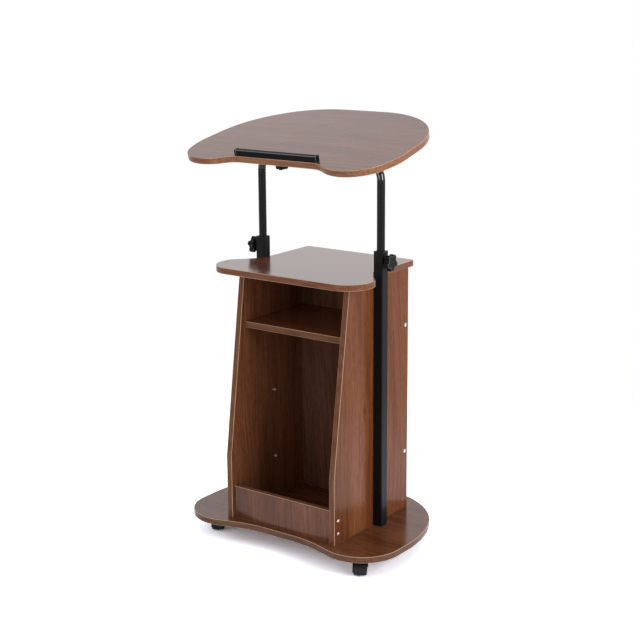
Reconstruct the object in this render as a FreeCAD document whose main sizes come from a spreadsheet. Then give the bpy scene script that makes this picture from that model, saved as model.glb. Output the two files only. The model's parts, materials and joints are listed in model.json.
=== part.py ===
import FreeCAD, Part
import math
import os
import re

import Sketcher
from FreeCAD import Placement, Rotation, Vector

# Mobile standing desk: a cabinet on a kidney-shaped base board with four swivel casters, and a
# tilting desktop on a telescopic inverted-U tube. Millimetres, +X right, +Y back, +Z up, with the
# origin on the floor under the middle of the base board. It stands as it does in use: the lift
# frame part-way out and the desktop tilted towards the user.

driving_sizes = {
    # boards
    "board_thickness": 15,
    "edge_round": 1.2,
    # base board outline: the span between its side corners, how far in from there each other
    # corner lies, and the radius at each
    "base_span": 588,
    "base_side_y": -24,
    "base_side_radius": 300,
    "base_lobe_inset": 3,
    "base_lobe_y": -239.4,
    "base_lobe_radius": 99,
    "base_recess_inset": 209,
    "base_recess_y": -177.4,
    "base_recess_radius": 300,
    "base_back_inset": 58,
    "base_back_y": 205.8,
    "base_back_radius": 228,
    # cabinet
    "cabinet_width": 320,
    "cabinet_front_y": -170,
    "cabinet_depth": 310,
    "panel_height": 605,
    "panel_kink_height": 158,
    "panel_kink_radius": 60,
    "panel_lean": 64,
    "kick_height": 80,
    "kick_recess": 7,
    "shelf_height": 467,
    "shelf_setback": 60,
    "back_inset": 5,
    # cabinet top outline
    "top_front_y": -167,
    "top_front_radius": 62,
    "top_wing_x": 215,
    "top_wing_y": -82,
    "top_wing_radius": 32,
    "top_neck_gap": 7.5,
    "top_neck_radius": 18,
    "top_post_gap": 0.5,
    "top_back_y": 168,
    "top_back_radius": 9,
    # posts
    "post_size": 25,
    "post_wall": 1.5,
    "post_corner": 2.5,
    "post_y": 1.5,
    "post_height": 668,
    "foot_plug_height": 25,
    "bush_depth": 30,
    "bush_flange": 2,
    # lift frame
    "tube_diameter": 19,
    "tube_wall": 1.5,
    "bend_radius": 45,
    "leg_length": 460,
    "leg_showing": 164,
    "slide_plug_height": 25,
    "slide_plug_spigot": 15,
    # clearances
    "seat_clearance": 0.05,
    "running_clearance": 0.08,
    "slide_clearance": 0.3,
    "stud_gap": 0.3,
    "hole_clearance": 0.1,
    # clamp knobs on the posts
    "clamp_drop": 22.5,
    "clamp_nut_size": 14,
    "clamp_nut_thickness": 4,
    "clamp_stud_radius": 4,
    "clamp_knob_core": 15,
    "clamp_knob_lobe": 6.5,
    "clamp_knob_reach": 14.2,
    "clamp_knob_thickness": 14,
    "clamp_knob_hub": 3,
    "clamp_knob_hub_radius": 9,
    "knob_round": 2.5,
    "knob_stud_depth": 10,
    # desktop outline in the same way, measured along its slope from its own centre
    "tilt_angle": 12.5,
    "desk_rise": 32,
    "desk_offset": 5.5,
    "desk_span": 570,
    "desk_side_v": -97,
    "desk_side_radius": 200,
    "desk_lobe_inset": 39,
    "desk_lobe_v": -251,
    "desk_lobe_radius": 84,
    "desk_recess_inset": 166,
    "desk_recess_v": -171.2,
    "desk_recess_radius": 60,
    "desk_back_inset": 20.5,
    "desk_back_v": 197,
    "desk_back_radius": 222,
    # book stop along the desktop's front recess
    "stop_length": 231,
    "stop_depth": 12,
    "stop_height": 14.5,
    "stop_inset": 1.5,
    "stop_round": 3,
    "stop_cap_length": 5,
    "stop_cap_proud": 0.8,
    "stop_screw_pitch": 80,
    "stop_screw_bite": 8,
    # tilt brackets under the desktop
    "bracket_x": 116,
    "bracket_width": 20,
    "bracket_flange_half": 27,
    "bracket_flange_thickness": 6,
    "bracket_trunk_half": 13,
    "bracket_trunk_round": 11,
    "bracket_drop": 18,
    "bracket_screw_v": 20,
    "bracket_screw_bite": 10,
    "tilt_stud_radius": 3,
    "tilt_knob_gap": 2,
    "tilt_knob_core": 12,
    "tilt_knob_lobe": 5.5,
    "tilt_knob_reach": 10.5,
    "tilt_knob_thickness": 12,
    "tilt_knob_hub": 8,
    "tilt_knob_hub_radius": 7.5,
    # casters
    "caster_height": 46,
    "caster_front_inset": 78.5,
    "caster_front_y": -143.5,
    "caster_back_inset": 114,
    "caster_back_y": 120,
    "caster_trail": 14,
    "wheel_radius": 18,
    "wheel_width": 13,
    "wheel_round": 4.5,
    "wheel_inner_round": 1,
    "wheel_dish_radius": 11,
    "wheel_dish_depth": 1.2,
    "wheel_side_gap": 0.5,
    "wheel_hood_gap": 0.8,
    "axle_radius": 3,
    "hood_wall": 1.7,
    "hood_width": 34,
    "hood_skirt": 6,
    "web_thickness": 4,
    "web_below_axle": 16,
    "swivel_boss_radius": 9,
    "swivel_boss_depth": 19,
    "swivel_gap": 0.5,
    "swivel_pin_radius": 4,
    "swivel_pin_length": 8,
    "plate_size": 38,
    "plate_thickness": 2.5,
    "plate_corner": 4,
    "plate_screw_half_pitch": 13,
    # fasteners: radius, length of shank, and head
    "panel_screw_radius": 2.5,
    "panel_screw_bite": 30,
    "panel_screw_head_radius": 4,
    "panel_screw_head_height": 1.5,
    "kick_screw_low": 24,
    "kick_screw_high": 56,
    "back_screw_low": 147.5,
    "back_screw_high": 467,
    "base_screw_radius": 3.2,
    "base_screw_bite": 40,
    "base_screw_head_radius": 5,
    "base_screw_head_height": 4,
    "base_screw_setback": 60,
    "base_screw_pitch": 180,
    "base_screw_back_x": 80,
    "foot_screw_bite": 18,
    "post_bolt_radius": 3,
    "post_bolt_head_radius": 6,
    "post_bolt_head_height": 3,
    "post_bolt_low": 110,
    "post_bolt_high": 284,
    "cam_radius": 7.5,
    "cam_depth": 11,
    "cam_drop": 29,
    "cam_front_y": -68,
    "cam_back_y": 75,
    "cam_bolt_radius": 3,
    "cam_bolt_bite": 10,
    "shelf_pin_radius": 2.5,
    "shelf_pin_half": 8,
    "shelf_pin_setback": 35,
    "wood_screw_radius": 1.75,
    "wood_screw_head_radius": 3.5,
    "wood_screw_head_height": 2,
    "plate_screw_bite": 10,
}

# which way each caster trails from its swivel pin, in degrees about +Z from +Y
caster_turns = {
    "front_left": 40,
    "front_right": 210,
    "back_left": 36,
    "back_right": 36,
}
knob_lobes = 5

doc = FreeCAD.newDocument("standing_desk")
sizes = doc.addObject("Spreadsheet::Sheet", "Sizes")
for row, (alias, value) in enumerate(driving_sizes.items(), start=1):
    sizes.set("A%d" % row, alias)
    sizes.set("B%d" % row, str(value))
    sizes.setAlias("B%d" % row, alias)
doc.recompute()

nodes = {}

# heights and faces that several pieces share
base_bottom = "caster_height"
base_top = "(caster_height + board_thickness)"
panel_top = "(caster_height + board_thickness + panel_height)"
post_top = "(caster_height + board_thickness + post_height)"
panel_outer_x = "(cabinet_width / 2)"
panel_inner_x = "(cabinet_width / 2 - board_thickness)"
panel_middle_x = "(cabinet_width / 2 - board_thickness / 2)"
inner_width = "(cabinet_width - 2 * board_thickness)"
back_front_y = "(cabinet_front_y + cabinet_depth - back_inset - board_thickness)"
back_middle_y = "(cabinet_front_y + cabinet_depth - back_inset - board_thickness / 2)"
kick_front_y = "(cabinet_front_y + kick_recess)"
kick_middle_y = "(cabinet_front_y + kick_recess + board_thickness / 2)"
shelf_front_y = "(cabinet_front_y + shelf_setback)"
post_x = "(cabinet_width / 2 + post_size / 2)"
post_inner = "(post_size - 2 * post_wall)"
post_inner_corner = "(post_corner - post_wall)"
tube_radius = "(tube_diameter / 2)"
tube_bore_radius = "(tube_diameter / 2 - tube_wall)"
bend_start_z = "(caster_height + board_thickness + post_height + leg_showing)"
crossbar_z = "(caster_height + board_thickness + post_height + leg_showing + bend_radius)"
leg_bottom_z = "(caster_height + board_thickness + post_height + leg_showing - leg_length)"
clamp_z = "(caster_height + board_thickness + post_height - clamp_drop)"
desk_top_n = "(desk_rise + board_thickness)"
stop_front_v = "(desk_recess_v + desk_offset + stop_inset)"
stop_middle_v = "(desk_recess_v + desk_offset + stop_inset + stop_depth / 2)"
plate_bottom = "(caster_height - plate_thickness)"
desk_frame = {"at": ("0", "post_y", crossbar_z), "axis": (1, 0, 0), "turn": "tilt_angle"}

toward = {
    "+X": ((0, 1, 0), 90, 0, "+"),
    "-X": ((0, 1, 0), -90, 0, "-"),
    "+Z": ((1, 0, 0), 0, 2, "+"),
    "-Z": ((1, 0, 0), 180, 2, "-"),
}


def formula(text):
    def cell(word):
        return "Sizes." + word[0] if word[0] in driving_sizes else word[0]

    return re.sub(r"[a-z_]{3,}", cell, text)


def number(text):
    return float(sizes.evalExpression(formula(text)))


def bind(thing, path, text):
    thing.setExpression(path, formula(text))


def place(thing, at=("0", "0", "0"), axis=None, turn="0"):
    if axis:
        thing.Placement = Placement(Vector(), Rotation(Vector(*axis), number(turn)))
        bind(thing, "Placement.Rotation.Angle", turn)
    for letter, text in zip("xyz", at):
        if text != "0":
            bind(thing, "Placement.Base." + letter, text)


def keep(label, thing):
    thing.Label = label
    nodes[label] = thing
    return thing


# sketches with straight runs and tangent arcs, bound to the sheet

def new_body(label):
    return doc.addObject("PartDesign::Body", label)


def new_sketch(body, name, role, offset="0"):
    plane = [part for part in body.Origin.OriginFeatures if part.Role == role][0]
    sketch = body.newObject("Sketcher::SketchObject", name)
    sketch.AttachmentSupport = (plane, [""])
    sketch.MapMode = "FlatFace"
    if offset != "0":
        bind(sketch, "AttachmentOffset.Base.z", offset)
    return sketch


def pin_point(sketch, geometry, position, x_text, y_text):
    for kind, text, axis in (("DistanceX", x_text, -2), ("DistanceY", y_text, -1)):
        if text == "0":
            sketch.addConstraint(Sketcher.Constraint("PointOnObject", geometry, position, axis))
        else:
            datum = Sketcher.Constraint(kind, -1, 1, geometry, position, number(text))
            bind(sketch, "Constraints[%d]" % sketch.addConstraint(datum), text)


def corner_arc(before, corner, after, radius):
    into = (corner - before).normalize()
    out = (after - corner).normalize()
    turn = into.getAngle(out)
    reach = radius * math.tan(turn / 2)
    left_turn = into.cross(out).z > 0
    side = Vector(-into.y, into.x, 0) if left_turn else Vector(into.y, -into.x, 0)
    entry = corner - into * reach
    leave = corner + out * reach
    centre = entry + side * radius
    first, last = (entry, leave) if left_turn else (leave, entry)
    angles = [math.atan2(point.y - centre.y, point.x - centre.x) for point in (first, last)]
    if angles[1] < angles[0]:
        angles[1] += 2 * math.pi
    arc = Part.ArcOfCircle(Part.Circle(centre, Vector(0, 0, 1), radius), angles[0], angles[1])
    return entry, leave, arc, left_turn


def add_outline(sketch, corners, closed=True):
    count = len(corners)
    points = [Vector(number(x), number(y), 0) for x, y, _ in corners]
    entries, leaves, arcs = list(points), list(points), {}
    for i, (_, _, radius) in enumerate(corners):
        if radius:
            made = corner_arc(points[i - 1], points[i], points[(i + 1) % count], number(radius))
            entries[i], leaves[i] = made[0], made[1]
            arcs[i] = (sketch.addGeometry(made[2], False), made[3])
    runs = {}
    for i in range(count if closed else count - 1):
        runs[i] = sketch.addGeometry(Part.LineSegment(leaves[i], entries[(i + 1) % count]), False)
    for i, (x_text, y_text, radius) in enumerate(corners):
        before = runs.get((i - 1) % count)
        after = runs.get(i)
        if radius:
            arc, left_turn = arcs[i]
            entry_end, leave_end = (1, 2) if left_turn else (2, 1)
            apex = sketch.addGeometry(Part.Point(points[i]), True)
            sketch.addConstraint([
                Sketcher.Constraint("Tangent", before, 2, arc, entry_end),
                Sketcher.Constraint("Tangent", arc, leave_end, after, 1),
                Sketcher.Constraint("PointOnObject", apex, 1, before),
                Sketcher.Constraint("PointOnObject", apex, 1, after),
            ])
            size = sketch.addConstraint(Sketcher.Constraint("Radius", arc, number(radius)))
            bind(sketch, "Constraints[%d]" % size, radius)
            pin_point(sketch, apex, 1, x_text, y_text)
        elif after is None:
            pin_point(sketch, before, 2, x_text, y_text)
        else:
            if before is not None:
                sketch.addConstraint(Sketcher.Constraint("Coincident", before, 2, after, 1))
            pin_point(sketch, after, 1, x_text, y_text)
    return runs


def add_circle(sketch, x_text, y_text, radius):
    centre = Vector(number(x_text), number(y_text), 0)
    circle = sketch.addGeometry(Part.Circle(centre, Vector(0, 0, 1), number(radius)), False)
    size = sketch.addConstraint(Sketcher.Constraint("Radius", circle, number(radius)))
    bind(sketch, "Constraints[%d]" % size, radius)
    pin_point(sketch, circle, 3, x_text, y_text)


def rectangle(low_x, low_y, high_x, high_y, radius=None):
    spots = [(low_x, low_y), (high_x, low_y), (high_x, high_y), (low_x, high_y)]
    return [(x, y, radius) for x, y in spots]


def both_halves(right_half):
    left_half = [("-(" + x + ")", y, radius) for x, y, radius in reversed(right_half)]
    return right_half + left_half


def pad(body, sketch, length):
    feature = body.newObject("PartDesign::Pad", sketch.Name + "_pad")
    feature.Profile = sketch
    bind(feature, "Length", length)
    return feature


def revolve(body, sketch, axis):
    feature = body.newObject("PartDesign::Revolution", sketch.Name + "_turned")
    feature.Profile = sketch
    feature.ReferenceAxis = (sketch, [axis])
    feature.Angle = 360
    return feature


def ease(body, feature, direction, radius):
    doc.recompute()
    faces = []
    for i, face in enumerate(feature.Shape.Faces, start=1):
        flat = isinstance(face.Surface, Part.Plane)
        if flat and abs(face.normalAt(0, 0).dot(Vector(*direction))) > 0.999:
            faces.append("Face%d" % i)
    rounding = body.newObject("PartDesign::Fillet", feature.Name + "_eased")
    rounding.Base = (feature, faces)
    bind(rounding, "Radius", radius)
    return rounding


# plain solids and booleans

def cylinder(name, radius, length, at, heading="+Z"):
    shape = doc.addObject("Part::Cylinder", name)
    bind(shape, "Radius", radius)
    bind(shape, "Height", length)
    axis, turn = toward[heading][:2]
    shape.Placement = Placement(Vector(), Rotation(Vector(*axis), turn))
    place(shape, at)
    return shape


def box(name, length, width, height, at):
    shape = doc.addObject("Part::Box", name)
    for side, text in (("Length", length), ("Width", width), ("Height", height)):
        bind(shape, side, text)
    place(shape, at)
    return shape


def group(name, members):
    compound = doc.addObject("Part::Compound", name)
    compound.Links = members
    return compound


def fuse(name, members):
    joined = doc.addObject("Part::MultiFuse", name)
    joined.Shapes = members
    return joined


def cut(name, base, tool):
    result = doc.addObject("Part::Cut", name)
    result.Base = base
    result.Tool = tool
    return result


def shifted(at, heading, distance):
    moved = list(at)
    axis, sign = toward[heading][2:]
    moved[axis] = "(%s) %s (%s)" % (at[axis], sign, distance)
    return tuple(moved)


# a fastener is a head and a shank; its seat is where the underside of the head lies

def fastener(name, kind, seat, heading, grow="0"):
    head_radius, head_height, radius, length, sunk = kind
    shank_start = head_height if sunk else "0"
    head_start = "0" if sunk else "-(" + head_height + ")"
    shank = cylinder(name + "_shank", radius + " + " + grow, length + " - (" + shank_start + ")",
                     shifted(seat, heading, shank_start), heading)
    head = cylinder(name + "_head", head_radius + " + " + grow, head_height,
                    shifted(seat, heading, head_start), heading)
    return fuse(name, [shank, head])


def fasteners(label, kind, spots):
    made = []
    for i, (seat, heading) in enumerate(spots):
        made.append(fastener("%s_%d" % (label, i), kind, seat, heading))
    return keep(label, group(label, made))


def drills(name, kind, spots):
    made = []
    for i, (seat, heading) in enumerate(spots):
        made.append(fastener("%s_drill_%d" % (name, i), kind, seat, heading, "hole_clearance"))
    return made


# where each kind of fastener sits

panel_screw = ("panel_screw_head_radius", "panel_screw_head_height", "panel_screw_radius",
               "(board_thickness + panel_screw_bite)", False)
panel_screw_spots = []
for side, heading in (("-", "+X"), ("", "-X")):
    for y, height in ((kick_middle_y, "kick_screw_low"), (kick_middle_y, "kick_screw_high"),
                      (back_middle_y, "back_screw_low"), (back_middle_y, "back_screw_high")):
        panel_screw_spots.append(((side + panel_outer_x, y, base_top + " + " + height), heading))

base_screw = ("base_screw_head_radius", "base_screw_head_height", "base_screw_radius",
              "(board_thickness + base_screw_bite)", True)
base_screw_spots = []
for side in ("-", ""):
    first_y = "cabinet_front_y + base_screw_setback"
    for y in (first_y, first_y + " + base_screw_pitch"):
        base_screw_spots.append(((side + panel_middle_x, y, base_bottom), "+Z"))
    base_screw_spots.append(((side + "base_screw_back_x", back_middle_y, base_bottom), "+Z"))

foot_screw = ("base_screw_head_radius", "base_screw_head_height", "base_screw_radius",
              "(board_thickness + foot_screw_bite)", True)
foot_screw_spots = [((side + post_x, "post_y", base_bottom), "+Z") for side in ("-", "")]

post_bolt = ("post_bolt_head_radius", "post_bolt_head_height", "post_bolt_radius",
             "(board_thickness + post_wall)", False)
post_bolt_spots = []
for side, heading in (("-", "-X"), ("", "+X")):
    for height in ("post_bolt_low", "post_bolt_high"):
        post_bolt_spots.append(((side + panel_inner_x, "post_y", base_top + " + " + height), heading))

cam_z = panel_top + " - cam_drop"
cam_spots = []
for side, heading in (("-", "-X"), ("", "+X")):
    for y in ("cam_front_y", "cam_back_y"):
        cam_spots.append((side, y, heading))

shelf_pin_spots = []
for side, heading in (("-", "-X"), ("", "+X")):
    for y in (shelf_front_y + " + shelf_pin_setback", back_front_y + " - shelf_pin_setback"):
        shelf_pin_spots.append((side, y, heading))

caster_front_x = "(base_span / 2 - caster_front_inset)"
caster_back_x = "(base_span / 2 - caster_back_inset)"
caster_spots = {
    "front_left": ("-" + caster_front_x, "caster_front_y"),
    "front_right": (caster_front_x, "caster_front_y"),
    "back_left": ("-" + caster_back_x, "caster_back_y"),
    "back_right": (caster_back_x, "caster_back_y"),
}
plate_screw = ("wood_screw_head_radius", "wood_screw_head_height", "wood_screw_radius",
               "(plate_thickness + plate_screw_bite)", False)
plate_screw_spots = []
for x, y in caster_spots.values():
    for screw_x in (x + " - plate_screw_half_pitch", x + " + plate_screw_half_pitch"):
        for screw_y in (y + " - plate_screw_half_pitch", y + " + plate_screw_half_pitch"):
            plate_screw_spots.append(((screw_x, screw_y, plate_bottom), "+Z"))

stop_screw = ("wood_screw_head_radius", "wood_screw_head_height", "wood_screw_radius",
              "(board_thickness + stop_screw_bite)", True)
stop_screw_spots = []
for x in ("-stop_screw_pitch", "0", "stop_screw_pitch"):
    stop_screw_spots.append(((x, stop_middle_v, "desk_rise"), "+Z"))

bracket_screw = ("wood_screw_head_radius", "wood_screw_head_height", "wood_screw_radius",
                 "(bracket_flange_thickness + bracket_screw_bite)", False)
bracket_screw_spots = []
bracket_seat = "desk_rise - bracket_flange_thickness"
for side in ("-", ""):
    for v in ("-bracket_screw_v", "bracket_screw_v"):
        bracket_screw_spots.append(((side + "bracket_x", v, bracket_seat), "+Z"))


# cam bolts hang from the cabinet top into the cams in the side panels

def cam_discs(name, grow):
    discs = []
    for i, (side, y, heading) in enumerate(cam_spots):
        at = (side + panel_inner_x, y, cam_z)
        discs.append(cylinder("%s_%d" % (name, i), "cam_radius + " + grow,
                              "cam_depth + " + grow, at, heading))
    return discs


def cam_bolts(name, grow):
    bolts = []
    for i, (side, y, _) in enumerate(cam_spots):
        at = (side + panel_middle_x, y, cam_z)
        bolts.append(cylinder("%s_%d" % (name, i), "cam_bolt_radius + " + grow,
                              "cam_drop + cam_bolt_bite + " + grow, at))
    return bolts


def shelf_pins(name, grow):
    pins = []
    for i, (side, y, heading) in enumerate(shelf_pin_spots):
        at = (side + panel_inner_x, y, base_top + " + shelf_height - shelf_pin_radius")
        pins.append(cylinder("%s_%d" % (name, i), "shelf_pin_radius + " + grow,
                             "2 * shelf_pin_half", shifted(at, heading, "-shelf_pin_half"), heading))
    return pins


keep("cam_discs", cut("cam_discs", group("cam_blanks", cam_discs("cam_blank", "0")),
                      group("cam_slots", cam_bolts("cam_slot", "hole_clearance"))))
keep("cam_bolts", group("cam_bolts", cam_bolts("cam_bolt", "0")))
keep("shelf_pins", group("shelf_pins", shelf_pins("shelf_pin", "0")))
fasteners("panel_screws", panel_screw, panel_screw_spots)
fasteners("base_screws", base_screw, base_screw_spots)
fasteners("post_foot_screws", foot_screw, foot_screw_spots)
fasteners("post_bolts", post_bolt, post_bolt_spots)
fasteners("caster_screws", plate_screw, plate_screw_spots)

# base board

base_blank = new_body("base_blank")
base_sketch = new_sketch(base_blank, "base_outline", "XY_Plane")
add_outline(base_sketch, both_halves([
    ("base_span / 2 - base_recess_inset", "base_recess_y", "base_recess_radius"),
    ("base_span / 2 - base_lobe_inset", "base_lobe_y", "base_lobe_radius"),
    ("base_span / 2", "base_side_y", "base_side_radius"),
    ("base_span / 2 - base_back_inset", "base_back_y", "base_back_radius"),
]))
ease(base_blank, pad(base_blank, base_sketch, "board_thickness"), (0, 0, 1), "edge_round")
place(base_blank, ("0", "0", base_bottom))
base_drills = (drills("base_screw", base_screw, base_screw_spots)
               + drills("foot_screw", foot_screw, foot_screw_spots)
               + drills("plate_screw", plate_screw, plate_screw_spots))
keep("base_board", cut("base_board", base_blank, group("base_holes", base_drills)))


# side panels: upright at the foot, then leaning back

def side_panel(label, x):
    blank = new_body(label + "_blank")
    outline = new_sketch(blank, label + "_outline", "YZ_Plane")
    back_y = "cabinet_front_y + cabinet_depth"
    add_outline(outline, [
        ("cabinet_front_y", "0", None),
        (back_y, "0", None),
        (back_y, "panel_height", None),
        ("cabinet_front_y + panel_lean", "panel_height", None),
        ("cabinet_front_y", "panel_kink_height", "panel_kink_radius"),
    ])
    ease(blank, pad(blank, outline, "board_thickness"), (1, 0, 0), "edge_round")
    place(blank, (x, "0", base_top))
    holes = (drills(label + "_screw", panel_screw, panel_screw_spots)
             + drills(label + "_bolt", post_bolt, post_bolt_spots)
             + drills(label + "_base", base_screw, base_screw_spots)
             + cam_discs(label + "_cam", "hole_clearance")
             + cam_bolts(label + "_cam_bolt", "hole_clearance")
             + shelf_pins(label + "_pin", "hole_clearance"))
    keep(label, cut(label, blank, group(label + "_holes", holes)))


side_panel("left_side_panel", "-cabinet_width / 2")
side_panel("right_side_panel", "cabinet_width / 2 - board_thickness")


# boards between the side panels

def cross_board(label, role, low, high, at, holes):
    blank = new_body(label + "_blank")
    outline = new_sketch(blank, label + "_outline", role)
    half = inner_width + " / 2"
    add_outline(outline, rectangle("-" + half, low, half, high))
    flat_way = (0, 0, 1) if role == "XY_Plane" else (0, 1, 0)
    ease(blank, pad(blank, outline, "board_thickness"), flat_way, "edge_round")
    place(blank, at)
    if holes:
        keep(label, cut(label, blank, group(label + "_holes", holes)))
    else:
        keep(label, blank)


# a pad on the XZ plane grows towards -Y, so the board's back face is its reference
cross_board("back_panel", "XZ_Plane", "0", "panel_height",
            ("0", back_front_y + " + board_thickness", base_top),
            drills("back_screw", panel_screw, panel_screw_spots)
            + drills("back_base", base_screw, base_screw_spots))
cross_board("kick_board", "XZ_Plane", "0", "kick_height",
            ("0", kick_front_y + " + board_thickness", base_top),
            drills("kick_screw", panel_screw, panel_screw_spots))
cross_board("shelf", "XY_Plane", shelf_front_y, back_front_y,
            ("0", "0", base_top + " + shelf_height"), [])

# cabinet top: wings at the front, narrowed behind them to pass between the posts

neck_x = "(cabinet_width / 2 - top_post_gap)"
top_blank = new_body("top_blank")
top_sketch = new_sketch(top_blank, "top_outline", "XY_Plane")
add_outline(top_sketch, both_halves([
    ("top_wing_x", "top_front_y", "top_front_radius"),
    ("top_wing_x", "top_wing_y", "top_wing_radius"),
    (neck_x, "post_y - post_size / 2 - top_neck_gap", "top_neck_radius"),
    (neck_x, "top_back_y", "top_back_radius"),
]))
ease(top_blank, pad(top_blank, top_sketch, "board_thickness"), (0, 0, 1), "edge_round")
place(top_blank, ("0", "0", panel_top))
top_holes = group("top_holes", cam_bolts("top_cam_bolt", "hole_clearance"))
keep("cabinet_top", cut("cabinet_top", top_blank, top_holes))


# square posts with a guide bush at the top and a plug at the foot

def square(sketch, side, corner):
    half = "(" + side + ") / 2"
    add_outline(sketch, rectangle("-" + half, "-" + half, half, half, corner))


def post(label, side, heading):
    blank = new_body(label + "_blank")
    section = new_sketch(blank, label + "_section", "XY_Plane")
    square(section, "post_size", "post_corner")
    square(section, post_inner, post_inner_corner)
    pad(blank, section, "post_height")
    place(blank, (side + post_x, "post_y", base_top))
    stud_hole = cylinder(label + "_stud_hole", "clamp_stud_radius + stud_gap", "post_size",
                         (side + post_x, "post_y", clamp_z), heading)
    holes = drills(label + "_bolt", post_bolt, post_bolt_spots) + [stud_hole]
    keep(label, cut(label, blank, group(label + "_holes", holes)))


def post_bush(label, side, heading):
    blank = new_body(label + "_blank")
    flange = new_sketch(blank, label + "_flange", "XY_Plane")
    square(flange, "post_size", "post_corner")
    pad(blank, flange, "bush_flange")
    sleeve = new_sketch(blank, label + "_sleeve", "XY_Plane")
    square(sleeve, post_inner + " - 2 * seat_clearance", post_inner_corner)
    pad(blank, sleeve, "bush_depth").Reversed = True
    place(blank, (side + post_x, "post_y", post_top))
    bore = cylinder(label + "_bore", tube_radius + " + running_clearance", "bush_depth + bush_flange",
                    (side + post_x, "post_y", post_top + " - bush_depth"))
    stud_hole = cylinder(label + "_stud_hole", "clamp_stud_radius + stud_gap", "post_size",
                         (side + post_x, "post_y", clamp_z), heading)
    keep(label, cut(label, blank, group(label + "_holes", [bore, stud_hole])))


def clamp_nut(label, side, heading):
    blank = new_body(label + "_blank")
    section = new_sketch(blank, label + "_section", "XY_Plane")
    square(section, "clamp_nut_size", "post_corner")
    add_circle(section, "0", "0", "clamp_stud_radius + running_clearance")
    pad(blank, section, "clamp_nut_thickness")
    axis, turn = toward[heading][:2]
    place(blank, shifted((side + post_x, "post_y", clamp_z), heading, "post_size / 2"), axis, str(turn))
    keep(label, blank)


for name, side, heading in (("left", "-", "-X"), ("right", "", "+X")):
    post(name + "_post", side, heading)
    post_bush(name + "_post_bush", side, heading)
    clamp_nut(name + "_clamp_nut", side, heading)

foot_plugs = []
for name, side in (("left", "-"), ("right", "")):
    plug = new_body(name + "_foot_plug")
    plug_section = new_sketch(plug, name + "_foot_plug_section", "XY_Plane")
    square(plug_section, post_inner + " - 2 * seat_clearance", post_inner_corner)
    pad(plug, plug_section, "foot_plug_height")
    place(plug, (side + post_x, "post_y", base_top))
    foot_plugs.append(plug)
keep("post_foot_plugs", cut("post_foot_plugs", group("foot_plug_blanks", foot_plugs),
                            group("foot_plug_holes", drills("foot_plug", foot_screw, foot_screw_spots))))

# lift frame: one tube bent into an inverted U, with a slide plug in the foot of each leg

lift_frame = new_body("lift_frame")
lift_path = new_sketch(lift_frame, "lift_path", "XZ_Plane")
add_outline(lift_path, [
    ("-" + post_x, leg_bottom_z, None),
    ("-" + post_x, crossbar_z, "bend_radius"),
    (post_x, crossbar_z, "bend_radius"),
    (post_x, leg_bottom_z, None),
], closed=False)
lift_section = new_sketch(lift_frame, "lift_section", "XY_Plane", leg_bottom_z)
add_circle(lift_section, "-" + post_x, "0", tube_radius)
add_circle(lift_section, "-" + post_x, "0", tube_bore_radius)
lift_tube = lift_frame.newObject("PartDesign::AdditivePipe", "lift_tube")
lift_tube.Profile = lift_section
lift_tube.Spine = (lift_path, [])
place(lift_frame, ("0", "post_y", "0"))
keep("lift_frame", lift_frame)

slide_plugs = []
for name, side in (("left", "-"), ("right", "")):
    plug = new_body(name + "_slide_plug")
    plug_section = new_sketch(plug, name + "_slide_plug_section", "XY_Plane")
    square(plug_section, post_inner + " - 2 * slide_clearance", post_inner_corner)
    pad(plug, plug_section, "slide_plug_height").Reversed = True
    spigot = new_sketch(plug, name + "_slide_plug_spigot", "XY_Plane")
    add_circle(spigot, "0", "0", tube_bore_radius + " - seat_clearance")
    pad(plug, spigot, "slide_plug_spigot")
    place(plug, (side + post_x, "post_y", leg_bottom_z))
    slide_plugs.append(plug)
keep("slide_plugs", group("slide_plugs", slide_plugs))


# lobed knobs, each moulded round a stud

def lobed_knob(label, size, stud_radius):
    knob = new_body(label + "_blank")
    core = new_sketch(knob, label + "_core", "XZ_Plane")
    add_outline(core, [
        ("0", "-" + size + "_hub", None),
        (size + "_hub_radius", "-" + size + "_hub", None),
        (size + "_hub_radius", size + "_thickness / 4", None),
        (size + "_core", size + "_thickness / 4", "knob_round / 2"),
        (size + "_core", size + "_thickness", "knob_round"),
        ("0", size + "_thickness", None),
    ])
    revolve(knob, core, "V_Axis")
    lobe = new_sketch(knob, label + "_lobe", "XZ_Plane")
    rim = size + "_reach + " + size + "_lobe"
    runs = add_outline(lobe, [
        (size + "_reach", "0", None),
        (rim, "0", "knob_round / 2"),
        (rim, size + "_thickness", "knob_round"),
        (size + "_reach", size + "_thickness", None),
    ])
    foot = Vector(number(size + "_reach"), 0, 0)
    head = foot + Vector(0, number(size + "_thickness"), 0)
    axis = lobe.addGeometry(Part.LineSegment(foot, head), True)
    lobe.addConstraint(Sketcher.Constraint("Coincident", axis, 1, runs[0], 1))
    lobe.addConstraint(Sketcher.Constraint("Coincident", axis, 2, runs[3], 1))
    turned = revolve(knob, lobe, "Axis0")
    ring = knob.newObject("PartDesign::PolarPattern", label + "_lobes")
    ring.Originals = [turned]
    ring.Axis = (core, ["V_Axis"])
    ring.Angle = 360
    ring.Occurrences = knob_lobes
    knob.Tip = ring
    socket = cylinder(label + "_socket", stud_radius + " + seat_clearance",
                      size + "_hub + knob_stud_depth", ("0", "0", "-" + size + "_hub"))
    return keep(label, cut(label, knob, socket))


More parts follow.
